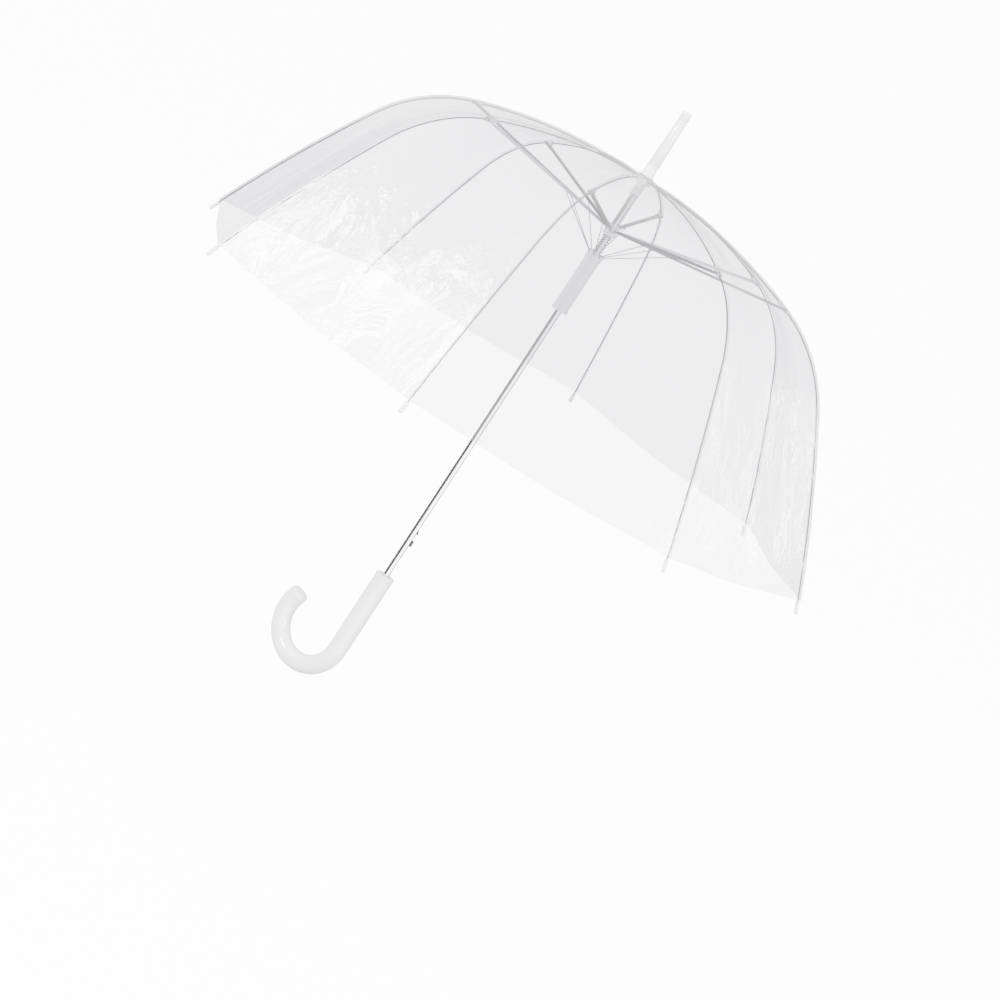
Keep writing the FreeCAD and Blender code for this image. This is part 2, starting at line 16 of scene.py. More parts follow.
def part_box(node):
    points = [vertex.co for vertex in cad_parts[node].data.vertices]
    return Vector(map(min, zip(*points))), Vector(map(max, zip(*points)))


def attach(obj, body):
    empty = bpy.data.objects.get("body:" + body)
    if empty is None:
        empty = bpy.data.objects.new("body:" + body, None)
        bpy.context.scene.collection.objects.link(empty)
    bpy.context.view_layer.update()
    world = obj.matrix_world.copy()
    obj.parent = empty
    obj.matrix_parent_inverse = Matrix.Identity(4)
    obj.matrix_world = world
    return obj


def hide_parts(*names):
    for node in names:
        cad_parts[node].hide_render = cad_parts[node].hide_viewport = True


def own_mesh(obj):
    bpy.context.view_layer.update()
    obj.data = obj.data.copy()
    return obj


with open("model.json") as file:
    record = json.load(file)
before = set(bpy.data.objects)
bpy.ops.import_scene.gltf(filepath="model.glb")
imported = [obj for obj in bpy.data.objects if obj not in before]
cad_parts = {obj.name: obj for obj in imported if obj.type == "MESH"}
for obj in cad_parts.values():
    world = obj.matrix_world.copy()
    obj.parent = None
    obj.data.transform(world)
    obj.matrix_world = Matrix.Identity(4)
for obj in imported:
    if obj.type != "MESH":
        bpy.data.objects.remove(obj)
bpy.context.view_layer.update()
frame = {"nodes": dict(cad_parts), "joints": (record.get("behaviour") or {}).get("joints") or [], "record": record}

bl_info = {
    "name": "Stick Umbrella",
    "version": (1, 0, 0),
    "blender": (4, 5, 0),
    "location": "View3D > Sidebar > Umbrella",
    "description": "Builds a clear dome umbrella around its CAD frame",
    "category": "Add Mesh",
}

CANOPY_LOW, CANOPY_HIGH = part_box("canopy")
JOINTS = {joint["name"]: joint for joint in frame["joints"]}
RIBS = range(1, 9)
RIB_STEP = math.radians(45)
HALF_GORE = RIB_STEP / 2


def joint_place(name):
    """A joint's radius from the shaft and its height at rest."""
    x, y, z = JOINTS[name]["pos_m"]
    return math.hypot(x, y), z


def joint_reach(name):
    """How far a hinge turns from rest to its far limit, in radians, with its sign."""
    low, high = JOINTS[name]["range_deg"]
    return math.radians(high if abs(high) > abs(low) else low)


NOTCH_PIVOT = joint_place("fold_1")
CLIP_PIVOT = joint_place("clip_1")
FOLD = joint_reach("fold_1")
FLEX = joint_reach("flex_1")
HUB_PIVOT = joint_place("hub_turn")


# ---------------------------------------------------------------- properties

class UmbrellaFilm(bpy.types.PropertyGroup):
    """Sizes and looks of the clear film."""

    sag: FloatProperty(
        name="Sag", description="How far the middle of a gore is drawn in",
        default=0.006, subtype="DISTANCE", unit="LENGTH")
    ripple: FloatProperty(
        name="Ripple", description="Height of the loose waves near the hem",
        default=0.0016, subtype="DISTANCE", unit="LENGTH")
    hem_rise: FloatProperty(
        name="Hem rise", description="How far the hem curves up between two ribs; below zero it hangs",
        default=-0.004, subtype="DISTANCE", unit="LENGTH")
    tint: FloatVectorProperty(
        name="Tint", description="Colour of light that passes the film", subtype="COLOR",
        size=3, min=0, max=1, default=(0.67, 0.64, 0.675))


class UmbrellaMetal(bpy.types.PropertyGroup):
    """Sizes of the springs and rivets."""

    drive_wire: FloatProperty(
        name="Drive spring wire", description="Wire radius of the drive spring",
        default=0.0006, subtype="DISTANCE", unit="LENGTH")
    drive_turns: IntProperty(
        name="Drive spring turns", description="Number of coils", default=17, min=3)
    buffer_wire: FloatProperty(
        name="Buffer spring wire", description="Wire radius of the buffer spring",
        default=0.00045, subtype="DISTANCE", unit="LENGTH")
    buffer_turns: IntProperty(
        name="Buffer spring turns", description="Number of coils", default=19, min=3)
    rivet_radius: FloatProperty(
        name="Rivet head", description="Radius of a clip's rivet head",
        default=0.0019, subtype="DISTANCE", unit="LENGTH")


class UmbrellaPlastic(bpy.types.PropertyGroup):
    """Colours of the moulded parts."""

    handle_colour: FloatVectorProperty(
        name="Handle", description="Colour of the handle and the ferrule", subtype="COLOR",
        size=3, min=0, max=1, default=(0.84, 0.83, 0.87))
    clip_colour: FloatVectorProperty(
        name="Clips", description="Colour of the rib clips and the notch", subtype="COLOR",
        size=3, min=0, max=1, default=(0.74, 0.74, 0.74))
    button_colour: FloatVectorProperty(
        name="Button", description="Colour of the release button", subtype="COLOR",
        size=3, min=0, max=1, default=(0.02, 0.02, 0.022))


class UmbrellaStage(bpy.types.PropertyGroup):
    """Camera and light."""

    eye: FloatVectorProperty(
        name="Camera", description="Where the camera stands", size=3, subtype="XYZ",
        default=(0.568, -3.016, 0.849))
    heading: FloatProperty(
        name="Heading", description="Direction of view, anticlockwise from +X",
        default=math.radians(99.45), subtype="ANGLE")
    dip: FloatProperty(
        name="Dip", description="How far the view looks down",
        default=math.radians(9.76), subtype="ANGLE")
    roll: FloatProperty(
        name="Roll", description="Turn of the camera about its line of view",
        default=math.radians(-33.37), subtype="ANGLE")
    lens: FloatProperty(
        name="Lens", description="Focal length in millimetres on a 36 mm sensor",
        default=93.6)
    backdrop: FloatProperty(
        name="Backdrop", description="Brightness of the plain backdrop and floor", default=13.0)
    world_light: FloatProperty(
        name="World light", description="Strength of the even light on the object", default=2.4)
    key_light: FloatProperty(
        name="Key light", description="Power of the large softbox", default=680,
        unit="POWER")
    side_light: FloatProperty(
        name="Side light", description="Power of the small softbox", default=250,
        unit="POWER")
    card_glow: FloatProperty(
        name="Card glow", description="Brightness of the white cards that the chrome reflects",
        default=11.0)
    strip_light: FloatProperty(
        name="Strip lights", description="Power of the left narrow lamp that glints on the film",
        default=50, unit="POWER")


# ---------------------------------------------------------------- materials

RIM_FALLOFF = 4.0
RIM_GLOSS = 0.6
FACE_GLOSS = 0.06


def new_material(name):
    """A material with an empty node tree but for its output."""
    material = bpy.data.materials.new(name)
    material.use_nodes = True
    tree = material.node_tree
    tree.nodes.clear()
    tree.nodes.new("ShaderNodeOutputMaterial")
    return material, tree


def output_of(tree):
    return next(node for node in tree.nodes if node.type == "OUTPUT_MATERIAL")


def node(tree, kind, **values):
    """A node with its properties and its inputs set by name."""
    made = tree.nodes.new(kind)
    for key, value in values.items():
        if hasattr(made, key):
            setattr(made, key, value)
        else:
            made.inputs[key.replace("_", " ")].default_value = value
    return made


def principled(tree, base, **values):
    shader = tree.nodes.new("ShaderNodeBsdfPrincipled")
    shader.inputs["Base Color"].default_value = (*base, 1)
    for key, value in values.items():
        shader.inputs[key.replace("_", " ")].default_value = value
    tree.links.new(shader.outputs[0], output_of(tree).inputs["Surface"])
    return shader


def noise(tree, scale, detail=4.0, stretch=(1, 1, 1), roughness=0.5):
    """Noise over the object's own coordinates, stretched along an axis."""
    coordinates = tree.nodes.new("ShaderNodeTexCoord")
    mapping = tree.nodes.new("ShaderNodeMapping")
    mapping.inputs["Scale"].default_value = stretch
    tree.links.new(coordinates.outputs["Object"], mapping.inputs["Vector"])
    pattern = node(tree, "ShaderNodeTexNoise", Scale=scale, Detail=detail, Roughness=roughness)
    tree.links.new(mapping.outputs["Vector"], pattern.inputs["Vector"])
    return pattern


def ramp(tree, source, low, high, start=0.3, stop=0.7):
    """The source drawn out between two values or two colours."""
    scale = tree.nodes.new("ShaderNodeValToRGB")
    scale.color_ramp.elements[0].position = start
    scale.color_ramp.elements[1].position = stop
    for element, value in zip(scale.color_ramp.elements, (low, high)):
        colour = value if hasattr(value, "__len__") else (value, value, value)
        element.color = (*colour, 1)
    tree.links.new(source, scale.inputs["Fac"])
    return scale.outputs["Color"]


def bump(tree, shader, height, strength, distance):
    made = node(tree, "ShaderNodeBump", Strength=strength, Distance=distance)
    tree.links.new(height, made.inputs["Height"])
    tree.links.new(made.outputs["Normal"], shader.inputs["Normal"])
    return made


def mixed(tree, share, first, second):
    """A mix of two shaders, by the second one's share."""
    mix = tree.nodes.new("ShaderNodeMixShader")
    tree.links.new(share, mix.inputs["Fac"])
    tree.links.new(first.outputs[0], mix.inputs[1])
    tree.links.new(second.outputs[0], mix.inputs[2])
    return mix


def shade(colour, factor):
    return tuple(channel * factor for channel in colour)


def moulded_plastic(name, colour, roughness, coat):
    """Injection-moulded plastic: faint clouding, fine grain and a slightly uneven gloss."""
    material, tree = new_material(name)
    shader = principled(tree, colour, Coat_Weight=coat, Coat_Roughness=0.05)
    clouding = noise(tree, 18.0, detail=3.0)
    tint = ramp(tree, clouding.outputs["Fac"], shade(colour, 0.965), colour)
    tree.links.new(tint, shader.inputs["Base Color"])
    gloss = noise(tree, 140.0, detail=5.0)
    uneven = ramp(tree, gloss.outputs["Fac"], roughness * 0.85, roughness * 1.2)
    tree.links.new(uneven, shader.inputs["Roughness"])
    fine = noise(tree, 900.0, detail=2.0)
    bump(tree, shader, fine.outputs["Fac"], 0.06, 0.0001)
    return material


def drawn_metal(name, colour, roughness, stretch, wear=0.12):
    """Drawn or rolled metal: streaks along one axis and darker patches where it is handled."""
    material, tree = new_material(name)
    shader = principled(tree, colour, Metallic=1.0)
    streaks = noise(tree, 400.0, detail=4.0, stretch=stretch)
    uneven = ramp(tree, streaks.outputs["Fac"], roughness * 0.7, roughness * 1.4)
    tree.links.new(uneven, shader.inputs["Roughness"])
    patches = noise(tree, 45.0, detail=6.0)
    tint = ramp(tree, patches.outputs["Fac"], shade(colour, 1 - wear), colour, 0.25, 0.6)
    tree.links.new(tint, shader.inputs["Base Color"])
    bump(tree, shader, streaks.outputs["Fac"], 0.08, 0.00005)
    return material


def painted_wire(name, colour):
    """Spring-steel wire with a thin dark lacquer."""
    material, tree = new_material(name)
    shader = principled(tree, colour, Metallic=0.75)
    patches = noise(tree, 220.0, detail=5.0)
    tint = ramp(tree, patches.outputs["Fac"], shade(colour, 0.7), shade(colour, 1.5))
    tree.links.new(tint, shader.inputs["Base Color"])
    uneven = ramp(tree, patches.outputs["Fac"], 0.28, 0.45)
    tree.links.new(uneven, shader.inputs["Roughness"])
    bump(tree, shader, patches.outputs["Fac"], 0.05, 0.00005)
    return material


def clear_plastic(name, tint, haze, gloss):
    """See-through moulding: a tinted clear body under a glossy skin."""
    material, tree = new_material(name)
    clear = tree.nodes.new("ShaderNodeBsdfTransparent")
    clear.inputs["Color"].default_value = (*tint, 1)
    skin = tree.nodes.new("ShaderNodeBsdfPrincipled")
    skin.inputs["Base Color"].default_value = (0.86, 0.86, 0.87, 1)
    skin.inputs["Roughness"].default_value = gloss
    skin.inputs["Coat Weight"].default_value = 0.5
    cloud = noise(tree, 120.0, detail=4.0)
    edge = node(tree, "ShaderNodeLayerWeight", Blend=0.35)
    body = ramp(tree, cloud.outputs["Fac"], haze * 0.9, haze * 1.1)
    cover = node(tree, "ShaderNodeMath", operation="ADD", use_clamp=True)
    tree.links.new(edge.outputs["Facing"], cover.inputs[0])
    tree.links.new(body, cover.inputs[1])
    fine = noise(tree, 700.0, detail=2.0)
    bump(tree, skin, fine.outputs["Fac"], 0.08, 0.0001)
    mix = mixed(tree, cover.outputs[0], clear, skin)
    tree.links.new(mix.outputs[0], output_of(tree).inputs["Surface"])
    return material


def film_material(name, tint, haze, wrinkle):
    """Clear film: light passes tinted, under a thin gloss that grows at its folds and edges."""
    material, tree = new_material(name)
    clear = tree.nodes.new("ShaderNodeBsdfTransparent")
    clear.inputs["Color"].default_value = (*tint, 1)
    gloss = principled(tree, (1, 1, 1), Metallic=1.0, Roughness=0.06)
    skin = principled(tree, (0.9, 0.9, 0.91), Roughness=0.4)
    creases = noise(tree, 22.0, detail=5.0, stretch=(1, 1, 0.45), roughness=0.55)
    creases.inputs["Distortion"].default_value = 0.7
    folds = bump(tree, skin, creases.outputs["Fac"], wrinkle, 0.006)
    edge = node(tree, "ShaderNodeLayerWeight", Blend=0.5)
    tree.links.new(folds.outputs["Normal"], edge.inputs["Normal"])
    tree.links.new(folds.outputs["Normal"], gloss.inputs["Normal"])
    rim = node(tree, "ShaderNodeMath", operation="POWER")
    rim.inputs[1].default_value = RIM_FALLOFF
    tree.links.new(edge.outputs["Facing"], rim.inputs[0])
    shine = node(tree, "ShaderNodeMath", operation="MULTIPLY_ADD", use_clamp=True)
    shine.inputs[1].default_value = RIM_GLOSS
    shine.inputs[2].default_value = FACE_GLOSS
    tree.links.new(rim.outputs[0], shine.inputs[0])
    shiny = mixed(tree, shine.outputs[0], clear, gloss)
    cloud = noise(tree, 9.0, detail=3.0)
    body = ramp(tree, cloud.outputs["Fac"], haze * 1.1, haze * 1.9)
    hazy = mixed(tree, body, shiny, skin)
    tree.links.new(hazy.outputs[0], output_of(tree).inputs["Surface"])
    return material


# ---------------------------------------------------------------- shapes

class Arc:
    """An arc in a rib's own plane that steepens from one downward slope to another."""

    def __init__(self, start, first_slope, last_slope, radius):
        self.first_slope = first_slope
        self.last_slope = last_slope
        self.radius = radius
        self.centre = (start[0] - radius * math.sin(first_slope),
                       start[1] - radius * math.cos(first_slope))

    def point(self, share, lift=0.0):
        """The point a share of the way along, lifted off the wire's centre line."""
        slope = self.first_slope + share * (self.last_slope - self.first_slope)
        reach = self.radius + lift
        return (self.centre[0] + reach * math.sin(slope),
                self.centre[1] + reach * math.cos(slope))

    def slope(self, share):
        return self.first_slope + share * (self.last_slope - self.first_slope)


CLIP_SLOPE = math.radians(19.5)
KNEE_SLOPE = math.radians(58)
HEM_SLOPE = math.radians(65)
FILM_LIFT = 0.0028
FILM_WALL = 0.0002
SEAT_MARGIN = 0.004


def rib_arcs():
    """The three arcs of every rib, from the hinges' places and the canopy's box."""
    link = math.hypot(CLIP_PIVOT[0] - NOTCH_PIVOT[0], CLIP_PIVOT[1] - NOTCH_PIVOT[1])
    rest = math.atan2(NOTCH_PIVOT[1] - CLIP_PIVOT[1], CLIP_PIVOT[0] - NOTCH_PIVOT[0])
    bow = CLIP_SLOPE - rest
    inner = Arc(NOTCH_PIVOT, rest - bow, CLIP_SLOPE, link / (2 * math.sin(bow)))
    hem_radius = CANOPY_HIGH[0] - (FILM_LIFT + FILM_WALL) * math.sin(HEM_SLOPE)
    hem_height = CANOPY_LOW[2] - FILM_LIFT * math.cos(HEM_SLOPE)
    run = hem_radius - CLIP_PIVOT[0]
    fall = CLIP_PIVOT[1] - hem_height
    knee_run = math.sin(KNEE_SLOPE) - math.sin(CLIP_SLOPE)
    knee_fall = math.cos(CLIP_SLOPE) - math.cos(KNEE_SLOPE)
    hem_run = math.sin(HEM_SLOPE) - math.sin(KNEE_SLOPE)
    hem_fall = math.cos(KNEE_SLOPE) - math.cos(HEM_SLOPE)
    scale = knee_run * hem_fall - hem_run * knee_fall
    knee = Arc(CLIP_PIVOT, CLIP_SLOPE, KNEE_SLOPE, (run * hem_fall - hem_run * fall) / scale)
    hem = Arc(knee.point(1), KNEE_SLOPE, HEM_SLOPE, (knee_run * fall - knee_fall * run) / scale)
    return inner, knee, hem


INNER_ARC, KNEE_ARC, HEM_ARC = rib_arcs()
SEAM_HALF_WIDTH = 0.0019
SEAM_WALL = 0.0003
# Across the tape: shares of the half width, and heights in walls.
SEAM_SECTION = ((1, 0), (0.55, 1), (0, 1.4), (-0.55, 1), (-1, 0))
SEAM_START = 0.04
ROSETTE_BORE = 0.0045
ROSETTE_EDGE = 0.0006
RING_WIRE = 0.00053
RIVET_DEPTH = 0.0007
CAP_GAP = 0.0015
CAP_LENGTH = 0.012
CAP_BORE = 0.00105
CAP_WAIST = 0.86
FERRULE_BORE = 0.0041
FERRULE_FOOT = 0.0076
FERRULE_TIP = 0.00585
FLANGE_DEPTH = 0.002
GROOVE_DEPTH = 0.0003
GROOVE_WIDTH = 0.0012
HOOK_SWEEP = math.radians(198)
HOOK_END = 0.008
HOOK_NOSE = 0.0025
HOOK_CROWN = 0.0003
LIP_HEIGHT = 0.0042
HANDLE_BORE = 0.0041
BORE_DEPTH = 0.02


def rib_turn(rib):
    """The turn about the shaft that brings the rib's own frame to its place."""
    return Matrix.Rotation(RIB_STEP * (rib - 1), 4, "Z")


def closed_place(radius, height, outer):
    """Where a point of a rib's own plane goes when the umbrella closes."""
    turns = [(NOTCH_PIVOT, FOLD)]
    if outer:
        turns.insert(0, (CLIP_PIVOT, FLEX))
    for pivot, angle in turns:
        run, rise = radius - pivot[0], height - pivot[1]
        radius = pivot[0] + run * math.cos(angle) + rise * math.sin(angle)
        height = pivot[1] - run * math.sin(angle) + rise * math.cos(angle)
    return radius, height


def finish_piece(mesh_maker, name, material, body, sharp=40, replaced=()):
    """Turn a bmesh into an object at the origin that rides on a body."""
    mesh = bpy.data.meshes.new(name)
    for face in mesh_maker.faces:
        face.smooth = True
    mesh_maker.to_mesh(mesh)
    mesh_maker.free()
    mesh.set_sharp_from_angle(angle=math.radians(sharp))
    mesh.materials.append(material)
    piece = bpy.data.objects.new(name, mesh)
    bpy.context.scene.collection.objects.link(piece)
    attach(piece, body)
    if replaced:
        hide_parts(*replaced)
    return piece


def outward(bm):
    """Merge what touches and point every face outwards."""
    bmesh.ops.remove_doubles(bm, verts=bm.verts, dist=1e-6)
    bmesh.ops.recalc_face_normals(bm, faces=bm.faces)


def face_up(bm):
    """Turn an open surface so that its outer side is the one that looks up."""
    bm.normal_update()
    if sum((face.normal for face in bm.faces), Vector()).z < 0:
        bmesh.ops.reverse_faces(bm, faces=bm.faces)


def rounded(corner_in, corner, corner_out, radius, steps=5):
    """Points of an arc that rounds a profile's corner."""
    into = Vector(corner_in) - Vector(corner)
    away = Vector(corner_out) - Vector(corner)
    start = Vector(corner) + into.normalized() * radius
    stop = Vector(corner) + away.normalized() * radius
    middle = Vector(corner)
    arc = []
    for step in range(steps + 1):
        share = step / steps
        point = start * (1 - share) ** 2 + middle * 2 * share * (1 - share) + stop * share ** 2
        arc.append(tuple(point))
    return arc


def rounded_profile(corners, radii):
    """A profile whose inner corners are rounded by the given radii, one for each of them."""
    profile = [corners[0]]
    for before, corner, after, radius in zip(corners, corners[1:], corners[2:], radii):
        if radius:
            profile.extend(rounded(before, corner, after, radius))
        else:
            profile.append(corner)
    profile.append(corners[-1])
    return profile


def coil(bm, radius, wire, foot, top, turns, steps_per_turn=28, sides=10):
    """A helical spring with closed, flat-lying ends."""
    rise = top - foot - 2 * wire
    made = bmesh.ops.create_circle(bm, segments=sides, radius=wire, cap_ends=False)
    place = (Matrix.Translation((radius, 0, foot + wire)) @ Matrix.Rotation(math.pi / 2, 4, "X"))
    bmesh.ops.transform(bm, matrix=place, verts=made["verts"])
    lay = 1.5
    stretches = [(lay, lay * 2.1 * wire), (turns - 2 * lay, rise - 2 * lay * 2.1 * wire),
                 (lay, lay * 2.1 * wire)]
    geometry = list(bm.verts) + list(bm.edges)
    for count, climb in stretches:
        steps = max(8, round(count * steps_per_turn))
        spun = bmesh.ops.spin(bm, geom=geometry, cent=(0, 0, 0), axis=(0, 0, 1),
                              dvec=(0, 0, climb / steps), angle=math.tau * count, steps=steps,
                              use_merge=False, use_duplicate=False)
        geometry = spun["geom_last"]
    ends = [edge for edge in bm.edges if edge.is_boundary]
    bmesh.ops.holes_fill(bm, edges=ends, sides=sides)
    outward(bm)
    return bm


def film_height(position, settings):
    """How far the film stands off its smooth shape at a place: fine loose waves."""
    near_hem = (CLIP_PIVOT[1] - position.z) / (CLIP_PIVOT[1] - CANOPY_LOW[2])
    near_hem = max(0.0, min(1.0, near_hem))
    broad = field.noise(Vector((position.x * 9, position.y * 9, position.z * 5)))
    fine = field.noise(Vector((position.x * 34, position.y * 34, position.z * 15)))
    return settings.ripple * (0.25 + near_hem) * (broad + 0.45 * fine)


class Band:
    """A stretch of the film from one latitude to another, given along the rib's arcs.

    Its gather methods give the axis along which a half gore would gather to its rib as the
    umbrella closes: square to the rib's line, which falls at the gather slope.
    """

    def __init__(self, name, arc, rows, outer, gather_slope):
        self.name = name
        self.arc = arc
        self.rows = rows
        self.outer = outer
        self.gather_slope = math.radians(gather_slope)

    def body(self, rib):
        return f"outer_{rib}" if self.outer else f"inner_{rib}"

    def edge(self, share):
        """Radius and height of the film over the rib."""
        if not self.outer and share == 0:
            return NOTCH_PIVOT[0] + SEAT_MARGIN, CANOPY_HIGH[2] - FILM_WALL / 2
        return self.arc.point(share, FILM_LIFT + FILM_WALL / 2)

    def length(self):
        return self.arc.radius * (self.arc.last_slope - self.arc.first_slope)

    def gather_axis(self, side):
        """Square to the rib's line, in the plane of the half gore, in the rib's own frame."""
        line = Vector((math.cos(self.gather_slope), 0, -math.sin(self.gather_slope)))
        across = gore_direction(side)
        return (across - line * across.dot(line)).normalized()

    def gather_anchor(self):
        """A point of the rib's film line between its chord and its middle."""
        places = [Vector((radius, 0, height)) for radius, height in map(self.edge, (0.01, 0.5, 1))]
        return (places[0] + 2 * places[1] + places[2]) / 4

    def keep(self):
        """The share of its width at which a gathered half gore meets the next rib's."""
        turn = FOLD + (FLEX if self.outer else 0)
        slope = self.gather_slope
        keeps = []
        for share in (0.25, 0.5, 0.75, 1.0):
            radius, height = self.edge(share)
            width = radius * math.sin(HALF_GORE)
            reach, _ = closed_place(radius, height, self.outer)
            drawn = width * math.sin(HALF_GORE) * math.cos(slope) * math.cos(slope + turn)
            inward = math.sin(HALF_GORE) * math.sin(slope) * math.sin(slope + turn)
            spread = width * (math.cos(HALF_GORE) + math.tan(HALF_GORE) * inward)
            keeps.append(math.tan(HALF_GORE) * (reach - drawn) / spread)
        return max(0.05, min(1.0, sum(keeps) / len(keeps)))


def gore_direction(side):
    """From a rib towards the middle of the next gore, in the rib's own frame."""
    return Vector((-math.sin(HALF_GORE), side * math.cos(HALF_GORE), 0))


BANDS = (
    Band("crown", INNER_ARC, 26, outer=False, gather_slope=10),
    Band("shoulder", KNEE_ARC, 24, outer=True, gather_slope=44),
    Band("skirt", HEM_ARC, 32, outer=True, gather_slope=58),
)


def half_gore(rib, side, band, settings, columns=18):
    """One half gore's stretch of film, with the flat size that it is cut to."""
    bm = bmesh.new()
    bmesh.ops.create_grid(bm, x_segments=columns, y_segments=band.rows, size=0.5)
    along_gore = gore_direction(side)
    normal_turn = math.cos(HALF_GORE), side * math.sin(HALF_GORE)
    widest = 0.0
    for vert in bm.verts:
        across, down = vert.co.x + 0.5, vert.co.y + 0.5
        radius, height = band.edge(down)
        width = radius * math.sin(HALF_GORE)
        widest = max(widest, width)
        point = Vector((radius, 0, height)) + along_gore * (across * width)
        slope = band.arc.slope(down)
        normal = Vector((math.sin(slope) * normal_turn[0], math.sin(slope) * normal_turn[1],
                         math.cos(slope)))
        free = math.sin(across * math.pi / 2) ** 2
        hem_share = down if band is BANDS[-1] else 0.0
        depth = settings.sag * free * math.sin(math.pi * sag_share(band, down))
        wave = film_height(rib_turn(rib) @ point, settings) * min(1.0, across * width / 0.02)
        point += normal * (wave - depth)
        point.z += settings.hem_rise * free * hem_share ** 3
        vert.co = point
    bmesh.ops.transform(bm, matrix=rib_turn(rib), verts=bm.verts)
    face_up(bm)
    area = sum(face.calc_area() for face in bm.faces)
    return bm, widest, band.length(), area


def band_start(band):
    """Distance along the rib from the notch to the band's upper edge."""
    before = BANDS[:BANDS.index(band)]
    return sum(earlier.length() for earlier in before)


def sag_share(band, down):
    """How far down the whole rib a place lies, from 0 at the notch to 1 at the hem."""
    whole = band_start(BANDS[-1]) + BANDS[-1].length()
    return (band_start(band) + down * band.length()) / whole


def build_film(settings, material):
    """The whole film as half gores, each riding on its rib's inner or outer body."""
    for rib in RIBS:
        for side, hand in ((1, "left"), (-1, "right")):
            for band in BANDS:
                bm, width, length, area = half_gore(rib, side, band, settings)
                name = f"film_{band.name}_{rib}_{hand}"
                replaced = ("canopy",) if (rib, side, band.name) == (1, 1, "crown") else ()
                piece = finish_piece(bm, name, material, band.body(rib), sharp=180,
                                     replaced=replaced)
                axis = rib_turn(rib) @ band.gather_axis(side)
                anchor = rib_turn(rib) @ band.gather_anchor()
                band.keep()
                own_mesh(piece)
                f"rib_{band.body(rib)}"


def seam_stations(bands):
    """Places along the rib's film line, each with its slope, without a repeated one."""
    stations = []
    for band in bands:
        for row in range(band.rows + 1):
            share = row / band.rows
            repeated = stations and row == 0
            if (band.outer or share > SEAM_START) and not repeated:
                stations.append((*band.edge(share), band.arc.slope(share)))
    return stations


def build_seams(material):
    """The welded tape that holds the film to each rib, in two lengths that hinge at the clip."""
    columns = len(SEAM_SECTION) - 1
    for rib in RIBS:
        for bands, body in ((BANDS[:1], f"inner_{rib}"), (BANDS[1:], f"outer_{rib}")):
            stations = seam_stations(bands)
            rows = len(stations) - 1
            bm = bmesh.new()
            bmesh.ops.create_grid(bm, x_segments=columns, y_segments=rows, size=0.5)
            for vert in bm.verts:
                side, walls = SEAM_SECTION[round((vert.co.x + 0.5) * columns)]
                radius, height, slope = stations[round((vert.co.y + 0.5) * rows)]
                fall = abs(side) * SEAM_HALF_WIDTH * math.tan(HALF_GORE) * math.sin(slope)
                lift = (FILM_WALL + SEAM_WALL) / 2 + walls * SEAM_WALL - fall
                vert.co = (radius + lift * math.sin(slope), side * SEAM_HALF_WIDTH,
                           height + lift * math.cos(slope))
            bmesh.ops.transform(bm, matrix=rib_turn(rib), verts=bm.verts)
            face_up(bm)
            finish_piece(bm, f"seam_{body}", material, body, sharp=80)


def build_springs(settings, material):
    """The buffer spring on the stick and the drive spring under the hub."""
    for node_name, body, wire, turns in (
            ("buffer_spring", "stick", settings.buffer_wire, settings.buffer_turns),
            ("drive_spring", "hub", settings.drive_wire, settings.drive_turns)):
        low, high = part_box(node_name)
        bm = coil(bmesh.new(), high[0] - wire, wire, low[2], high[2], turns)
        piece = finish_piece(bm, f"{node_name}_coil", material, body,
                             replaced=(node_name,))
        if node_name == "drive_spring":
            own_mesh(piece)


def build_rings(material):
    """The wire rings that carry the ribs' and the stretchers' eyes."""
    for name, body, radius, height in (
            ("notch_ring", "stick", *NOTCH_PIVOT), ("hub_ring", "hub", *HUB_PIVOT)):
        bm = bmesh.new()
        made = bmesh.ops.create_circle(bm, segments=12, radius=RING_WIRE, cap_ends=False)
        place = Matrix.Translation((radius, 0, height)) @ Matrix.Rotation(math.pi / 2, 4, "X")
        bmesh.ops.transform(bm, matrix=place, verts=made["verts"])
        bmesh.ops.spin(bm, geom=list(bm.verts) + list(bm.edges), cent=(0, 0, 0),
                       axis=(0, 0, 1), dvec=(0, 0, 0), angle=math.tau, steps=64,
                       use_merge=True, use_duplicate=False)
        outward(bm)
        finish_piece(bm, name, material, body)


def revolved_at(bm, profile, place, steps=32):
    """A closed profile of (radius, distance) turned about +Z, then put in its place."""
    before = set(bm.verts)
    points = [bm.verts.new((radius, 0, height)) for radius, height in profile]
    edges = [bm.edges.new(pair) for pair in zip(points, points[1:])]
    bmesh.ops.spin(bm, geom=points + edges, cent=(0, 0, 0), axis=(0, 0, 1), dvec=(0, 0, 0),
                   angle=math.tau, steps=steps, use_merge=True, use_duplicate=False)
    made = [vert for vert in bm.verts if vert not in before]
    bmesh.ops.transform(bm, matrix=place, verts=made)


def build_rivets(settings, material):
    """The domed heads of the rivet through each clip and stretcher fork."""
    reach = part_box("rib_clip_1")[1][1]
    for rib in RIBS:
        radius = settings.rivet_radius
        dome = [(0, reach + 0.0003), (radius * 0.55, reach + 0.00022),
                (radius * 0.88, reach - 0.00005), (radius, reach - 0.0004),
                (radius, reach - RIVET_DEPTH), (0, reach - RIVET_DEPTH)]
        bm = bmesh.new()
        centre = Matrix.Translation((CLIP_PIVOT[0], 0, CLIP_PIVOT[1]))
        for side in (1, -1):
            place = rib_turn(rib) @ centre @ Matrix.Rotation(-side * math.pi / 2, 4, "X")
            revolved_at(bm, dome, place, steps=20)
        outward(bm)
        finish_piece(bm, f"clip_rivet_{rib}", material, f"inner_{rib}")


